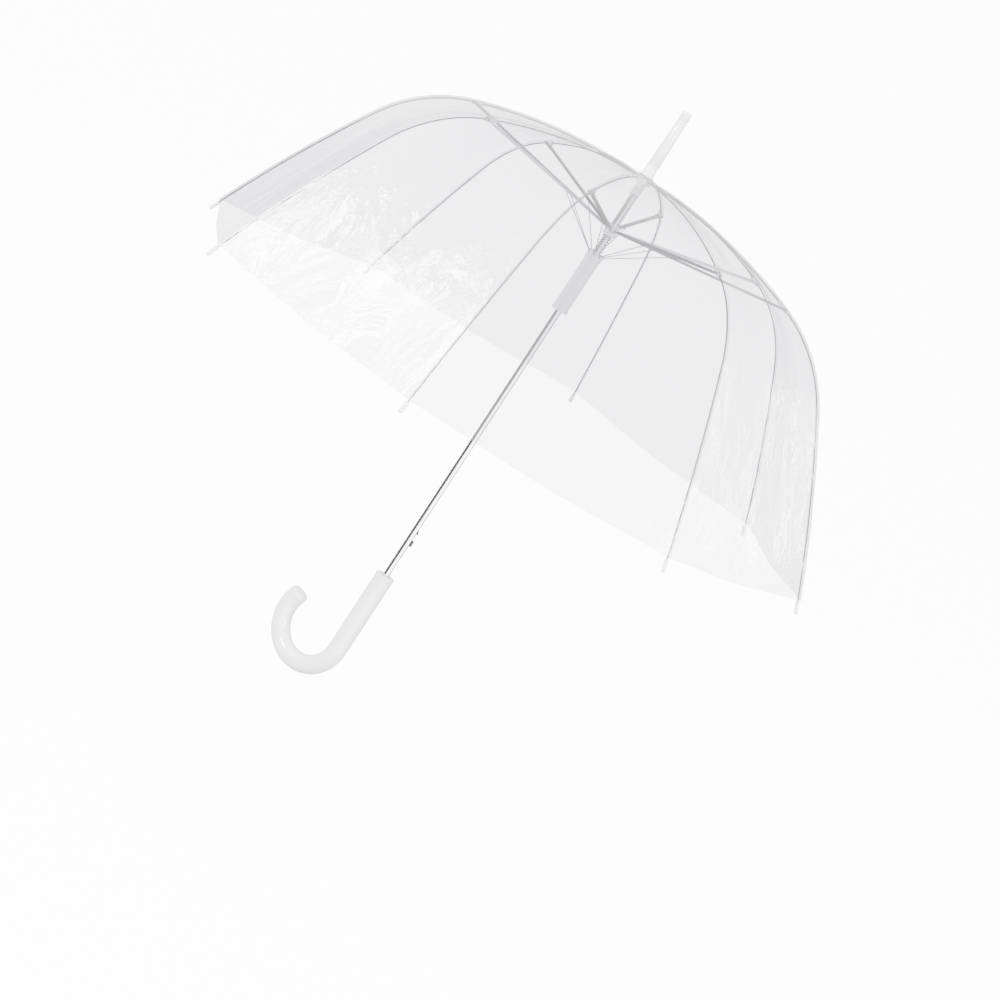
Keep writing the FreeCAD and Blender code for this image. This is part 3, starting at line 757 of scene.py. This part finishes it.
def build_tip_caps(material):
    """The moulded cap on each rib's end, with a waist and a round nose."""
    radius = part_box("rib_tip_1")[1][1]
    waist = radius * CAP_WAIST
    end_x, end_z = HEM_ARC.point(1)
    fall = Matrix.Rotation(math.pi / 2 + HEM_SLOPE, 4, "Y")
    shoulder = CAP_GAP + CAP_LENGTH
    corners = [(wide, CAP_GAP + along) for wide, along in (
        (0, 0), (CAP_BORE, 0), (waist, 0), (radius, 0.0006), (radius, 0.0032), (waist, 0.0040),
        (waist, 0.0056), (radius, 0.0066), (radius, CAP_LENGTH))]
    nose = [(radius * math.cos(turn), shoulder + radius * math.sin(turn))
            for turn in (math.pi / 2 * step / 8 for step in range(1, 8))]
    profile = corners + nose + [(0, shoulder + radius)]
    for rib in RIBS:
        bm = bmesh.new()
        revolved_at(bm, profile,
                    rib_turn(rib) @ Matrix.Translation((end_x, 0, end_z)) @ fall, steps=28)
        outward(bm)
        finish_piece(bm, f"tip_cap_{rib}", material, f"outer_{rib}",
                     replaced=(f"rib_tip_{rib}",))


def build_ferrule(material):
    """The long white spike, with its flange, two fine grooves and a rounded end."""
    low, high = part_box("ferrule")
    foot, tip = low[2], high[2]
    flange = high[0]
    rise = tip - foot

    def wall(height):
        return FERRULE_FOOT + (FERRULE_TIP - FERRULE_FOOT) * (height - foot) / rise

    corners = [(FERRULE_BORE, foot), (flange, foot), (flange, foot + FLANGE_DEPTH),
               (wall(foot + FLANGE_DEPTH), foot + FLANGE_DEPTH + 0.0004)]
    radii = [0.0004, 0.0006]
    for groove in (0.16, 0.86):
        height = foot + rise * groove
        floor = wall(height) - GROOVE_DEPTH
        corners += [(wall(height), height), (floor, height + GROOVE_DEPTH),
                    (floor, height + GROOVE_WIDTH - GROOVE_DEPTH),
                    (wall(height), height + GROOVE_WIDTH)]
        radii += [0, 0, 0, 0]
    corners += [(wall(tip), tip), (0, tip)]
    radii += [0, 0.0016]
    bm = bmesh.new()
    revolved_at(bm, rounded_profile(corners, radii), Matrix(), steps=64)
    outward(bm)
    finish_piece(bm, "ferrule_spike", material, "stick", sharp=50,
                 replaced=("ferrule",))


def build_rosette(material):
    """The small round disc of film that is clamped between the ferrule and the notch."""
    top = CANOPY_HIGH[2]
    foot = top - FILM_WALL
    outer = NOTCH_PIVOT[0] + SEAT_MARGIN + ROSETTE_EDGE
    profile = [(ROSETTE_BORE, foot), (outer, foot), (outer + FILM_WALL / 2, top),
               (ROSETTE_BORE, top), (ROSETTE_BORE, foot)]
    bm = bmesh.new()
    revolved_at(bm, profile, Matrix(), steps=64)
    outward(bm)
    piece = finish_piece(bm, "film_rosette", material, "stick")


def grow(bm, ring, shift, factor=1.0):
    """Extrude a ring of edges, move it and scale it about its own centre."""
    made = bmesh.ops.extrude_edge_only(bm, edges=ring)["geom"]
    verts = [item for item in made if isinstance(item, bmesh.types.BMVert)]
    edges = [item for item in made if isinstance(item, bmesh.types.BMEdge)]
    bmesh.ops.translate(bm, verts=verts, vec=shift)
    centre = sum((vert.co for vert in verts), Vector()) / len(verts)
    if factor != 1.0:
        bmesh.ops.scale(bm, verts=verts, vec=(factor,) * 3, space=Matrix.Translation(-centre))
    return edges


def build_handle(material):
    """The hooked grip: a straight stretch with a lip, a swept hook and a rounded end."""
    mounts = {mount["name"]: mount for mount in frame["record"]["mounts"]}
    hook = mounts["hook"]
    radius = mounts["grip"]["dims"]["r_mm"] / 1000
    hook_x, hook_y, hook_height = hook["pos_m"]
    reach = math.hypot(hook_x, hook_y)
    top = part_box("handle")[1][2]
    bm = bmesh.new()
    made = bmesh.ops.create_circle(bm, segments=64, radius=radius, cap_ends=False)
    bmesh.ops.translate(bm, verts=made["verts"], vec=(0, 0, hook_height))
    start = list(bm.edges)
    spun = bmesh.ops.spin(bm, geom=list(bm.verts) + start, cent=(reach, 0, hook_height),
                          axis=(0, -1, 0), dvec=(0, 0, 0), angle=HOOK_SWEEP, steps=72,
                          use_merge=False, use_duplicate=False)
    ring = [item for item in spun["geom_last"] if isinstance(item, bmesh.types.BMEdge)]
    forward = Matrix.Rotation(-HOOK_SWEEP, 3, "Y") @ Vector((0, 0, -1))
    for _ in range(3):
        ring = grow(bm, ring, forward * HOOK_END / 3)
    size = radius
    steps = 8
    for step in range(1, steps + 1):
        turn = math.pi / 2 * step / steps
        before = math.pi / 2 * (step - 1) / steps
        new_size = radius - HOOK_NOSE * (1 - math.cos(turn))
        ring = grow(bm, ring, forward * HOOK_NOSE * (math.sin(turn) - math.sin(before)),
                    new_size / size)
        size = new_size
    for new_size in (radius * 0.6, radius * 0.3):
        ring = grow(bm, ring, forward * HOOK_CROWN, new_size / size)
        size = new_size
    bmesh.ops.holes_fill(bm, edges=ring, sides=0)
    ring = start
    rise = (top - LIP_HEIGHT - hook_height) / 10
    for _ in range(10):
        ring = grow(bm, ring, (0, 0, rise))
    # The lip's outline up to the top, then the dished top face down into the shaft's bore.
    lip = [(radius + bulge, LIP_HEIGHT * (1 - share)) for share, bulge in (
        (0.12, 0.0001), (0.26, 0.0005), (0.45, 0.0006), (0.7, 0.0006), (0.88, 0.0003),
        (0.97, -0.0003), (1.0, -0.0011))]
    face = [(0.0085, 0.0), (0.0072, 0.0006), (0.0058, 0.0008), (HANDLE_BORE, 0.0010)]
    size = radius
    for new_size, drop in lip + face:
        now = ring[0].verts[0].co.z
        ring = grow(bm, ring, (0, 0, top - drop - now), new_size / size)
        size = new_size
    ring = grow(bm, ring, (0, 0, -BORE_DEPTH))
    bmesh.ops.holes_fill(bm, edges=ring, sides=0)
    turn = Matrix.Rotation(math.atan2(hook_y, hook_x), 4, "Z")
    bmesh.ops.transform(bm, matrix=turn, verts=bm.verts)
    outward(bm)
    finish_piece(bm, "hook_handle", material, "stick", sharp=60,
                 replaced=("handle",))


def paint(names, material):
    """Give CAD nodes a finish."""
    for name in names:
        mesh = frame["nodes"][name].data
        mesh.materials.clear()
        mesh.materials.append(material)


def per_rib(*stems):
    return [f"{stem}_{rib}" for stem in stems for rib in RIBS]


# ---------------------------------------------------------------- operators

CARD_DISTANCE = 2.4
CARD_HEIGHT = 1.6
CARD_WIDTH = 1.75
DARK_CARD_GLOW = 0.2
FLOOR_REFLECTED = 0.9


class UMBRELLA_OT_stage(bpy.types.Operator):
    """Set the camera, the pale floor and the soft light"""
    bl_idname = "umbrella.stage"
    bl_label = "Stage"

    def execute(self, context):
        settings = context.scene.umbrella_stage
        forward = Vector((math.cos(settings.dip) * math.cos(settings.heading),
                          math.cos(settings.dip) * math.sin(settings.heading),
                          -math.sin(settings.dip)))
        level = forward.cross(Vector((0, 0, 1))).normalized()
        upright = level.cross(forward)
        up = upright * math.cos(settings.roll) + level * math.sin(settings.roll)
        right = forward.cross(up)
        lens = bpy.data.cameras.new("camera")
        lens.lens = settings.lens
        lens.sensor_width = 36
        camera = bpy.data.objects.new("camera", lens)
        turn = Matrix((right, up, -forward)).transposed().to_4x4()
        camera.matrix_world = Matrix.Translation(Vector(settings.eye)) @ turn
        context.scene.collection.objects.link(camera)
        context.scene.camera = camera
        self.add_world(context.scene, settings)
        self.add_floor(context.scene, settings)
        self.add_cards(context.scene, settings)
        self.add_lamps(context.scene, settings)
        return {"FINISHED"}

    def add_world(self, scene, settings):
        """An even light, with a brighter backdrop behind the object."""
        world = bpy.data.worlds.new("studio")
        world.use_nodes = True
        tree = world.node_tree
        output = next(item for item in tree.nodes if item.type == "OUTPUT_WORLD")
        light = next(item for item in tree.nodes if item.type == "BACKGROUND")
        backdrop = tree.nodes.new("ShaderNodeBackground")
        for shader, strength in ((light, settings.world_light), (backdrop, settings.backdrop)):
            shader.inputs["Color"].default_value = (1, 1, 1, 1)
            shader.inputs["Strength"].default_value = strength
        path = tree.nodes.new("ShaderNodeLightPath")
        mix = mixed(tree, path.outputs["Is Camera Ray"], light, backdrop)
        tree.links.new(mix.outputs[0], output.inputs["Surface"])
        scene.world = world

    def add_floor(self, scene, settings):
        """A pale floor that glows a little, so that it meets the backdrop without an edge."""
        bm = bmesh.new()
        bmesh.ops.create_grid(bm, x_segments=2, y_segments=2, size=60)
        mesh = bpy.data.meshes.new("floor")
        bm.to_mesh(mesh)
        bm.free()
        material, tree = new_material("pale_floor")
        shader = principled(tree, (0.4, 0.4, 0.4), Roughness=0.9)
        shader.inputs["Specular IOR Level"].default_value = 0.0
        shader.inputs["Emission Color"].default_value = (1, 1, 1, 1)
        shader.inputs["Emission Strength"].default_value = settings.backdrop - FLOOR_REFLECTED
        mesh.materials.append(material)
        floor = bpy.data.objects.new("floor", mesh)
        floor.location.z = -0.0005
        floor.visible_diffuse = False
        floor.visible_glossy = False
        scene.collection.objects.link(floor)

    def add_cards(self, scene, settings):
        """Low upright cards that only reflections see: they give the chrome its bands."""
        for name, glow, headings in (
                ("dark_card", DARK_CARD_GLOW, (-220, -184, -148, -111, 22, 58)),
                ("bright_card", settings.card_glow, (-71, -40, -16))):
            material, tree = new_material(name)
            shader = principled(tree, (0.01, 0.01, 0.01), Roughness=1.0)
            shader.inputs["Emission Color"].default_value = (1, 1, 1, 1)
            shader.inputs["Emission Strength"].default_value = glow
            for heading in headings:
                stand = (Matrix.Rotation(math.radians(heading), 4, "Z")
                         @ Matrix.Translation((CARD_DISTANCE, 0, 0))
                         @ Matrix.Rotation(math.pi / 2, 4, "Y")
                         @ Matrix.Diagonal((CARD_HEIGHT, CARD_WIDTH, 1, 1)))
                bm = bmesh.new()
                bmesh.ops.create_grid(bm, x_segments=1, y_segments=1, size=0.5)
                bmesh.ops.transform(bm, matrix=stand, verts=bm.verts)
                mesh = bpy.data.meshes.new(name)
                bm.to_mesh(mesh)
                bm.free()
                mesh.materials.append(material)
                card = bpy.data.objects.new(name, mesh)
                scene.collection.objects.link(card)
                card.visible_camera = False
                card.visible_diffuse = False
                card.visible_transmission = False
                card.visible_shadow = False

    def add_lamps(self, scene, settings):
        """Two softboxes, and two narrow lamps whose reflections glint on the film."""
        target = Vector((0, 0, 0.5))
        for name, place, width, height, power in (
                ("key", (-1.9, -3.6, 2.3), 1.3, 2.1, settings.key_light),
                ("side", (2.6, -1.4, 1.6), 0.9, 1.4, settings.side_light),
                ("left_strip", (-2.1, -1.05, 1.7), 0.22, 0.7, settings.strip_light),
                ("right_strip", (1.9, 1.4, 1.35), 0.12, 0.7, settings.strip_light / 4)):
            light = bpy.data.lights.new(name, "AREA")
            light.energy = power
            light.shape = "RECTANGLE"
            light.size = width
            light.size_y = height
            lamp = bpy.data.objects.new(name, light)
            lamp.location = place
            lamp.rotation_euler = (target - Vector(place)).to_track_quat("-Z", "Y").to_euler()
            scene.collection.objects.link(lamp)
            lamp.visible_camera = False


class UMBRELLA_OT_film(bpy.types.Operator):
    """Lay the clear film over the ribs, with its seams and rosette"""
    bl_idname = "umbrella.film"
    bl_label = "Film"

    def execute(self, context):
        settings = context.scene.umbrella_film
        clear = film_material("clear_film", settings.tint, 0.03, 0.5)
        tape = film_material("seam_tape", shade(settings.tint, 0.97), 0.08, 0.15)
        build_film(settings, clear)
        build_seams(tape)
        build_rosette(tape)
        return {"FINISHED"}


class UMBRELLA_OT_springs(bpy.types.Operator):
    """Wind the buffer spring and the drive spring"""
    bl_idname = "umbrella.springs"
    bl_label = "Springs"

    def execute(self, context):
        wire = drawn_metal("spring_wire", (0.42, 0.42, 0.43), 0.28, (1, 1, 1))
        build_springs(context.scene.umbrella_metal, wire)
        return {"FINISHED"}


class UMBRELLA_OT_fittings(bpy.types.Operator):
    """Add the ring wires and the rivet heads"""
    bl_idname = "umbrella.fittings"
    bl_label = "Rings and rivets"

    def execute(self, context):
        dark = drawn_metal("dark_steel", (0.16, 0.16, 0.165), 0.3, (1, 1, 1))
        build_rings(dark)
        build_rivets(context.scene.umbrella_metal, dark)
        return {"FINISHED"}


class UMBRELLA_OT_mouldings(bpy.types.Operator):
    """Make the handle, the ferrule and the tip caps"""
    bl_idname = "umbrella.mouldings"
    bl_label = "Handle, ferrule and caps"

    def execute(self, context):
        settings = context.scene.umbrella_plastic
        gloss = moulded_plastic("white_gloss", settings.handle_colour, 0.16, 0.6)
        build_handle(gloss)
        build_ferrule(gloss)
        build_tip_caps(gloss)
        return {"FINISHED"}


class UMBRELLA_OT_linkage(bpy.types.Operator):
    """Finish the shaft, the linkage and the release"""
    bl_idname = "umbrella.linkage"
    bl_label = "Linkage finish"

    def execute(self, context):
        settings = context.scene.umbrella_plastic
        chrome = drawn_metal("chrome_tube", (0.72, 0.72, 0.74), 0.05, (1, 1, 0.02), wear=0.05)
        zinc = drawn_metal("zinc_channel", (0.38, 0.38, 0.4), 0.22, (1, 1, 1))
        lacquer = painted_wire("rib_lacquer", (0.1, 0.1, 0.105))
        bright = drawn_metal("bright_wire", (0.12, 0.12, 0.125), 0.3, (1, 1, 1))
        satin = moulded_plastic("clip_satin", settings.clip_colour, 0.35, 0.1)
        clear = clear_plastic("clear_moulding", (0.93, 0.94, 0.95), 0.62, 0.2)
        black = moulded_plastic("button_black", settings.button_colour, 0.25, 0.4)
        paint(["shaft"], chrome)
        paint(per_rib("rib_inner", "rib_outer"), lacquer)
        paint(per_rib("stretcher"), zinc)
        paint(per_rib("strut") + ["latch_spring"], bright)
        paint(per_rib("rib_clip") + ["top_notch", "spacer_sleeve"], satin)
        paint(["hub", "runner"], clear)
        paint(["release_button"], black)
        return {"FINISHED"}


class UMBRELLA_PT_panel(bpy.types.Panel):
    """Everything that builds the umbrella"""
    bl_idname = "UMBRELLA_PT_panel"
    bl_label = "Umbrella"
    bl_space_type = "VIEW_3D"
    bl_region_type = "UI"
    bl_category = "Umbrella"

    def draw(self, context):
        for name in STEPS:
            self.layout.operator(f"umbrella.{name}")
        for name in SETTINGS:
            group = getattr(context.scene, name)
            column = self.layout.column()
            for key in group.__annotations__:
                column.prop(group, key)


STEPS = ("stage", "film", "springs", "fittings", "mouldings", "linkage")
SETTINGS = {
    "umbrella_film": UmbrellaFilm,
    "umbrella_metal": UmbrellaMetal,
    "umbrella_plastic": UmbrellaPlastic,
    "umbrella_stage": UmbrellaStage,
}
CLASSES = (
    *SETTINGS.values(), UMBRELLA_OT_stage, UMBRELLA_OT_film, UMBRELLA_OT_springs,
    UMBRELLA_OT_fittings, UMBRELLA_OT_mouldings, UMBRELLA_OT_linkage, UMBRELLA_PT_panel,
)


def register():
    for item in CLASSES:
        bpy.utils.register_class(item)
    for name, group in SETTINGS.items():
        setattr(bpy.types.Scene, name, PointerProperty(type=group))


def unregister():
    for name in SETTINGS:
        delattr(bpy.types.Scene, name)
    for item in reversed(CLASSES):
        bpy.utils.unregister_class(item)


def main():
    register()
    for name in STEPS:
        getattr(bpy.ops.umbrella, name)()


if __name__ == "__main__":
    main()
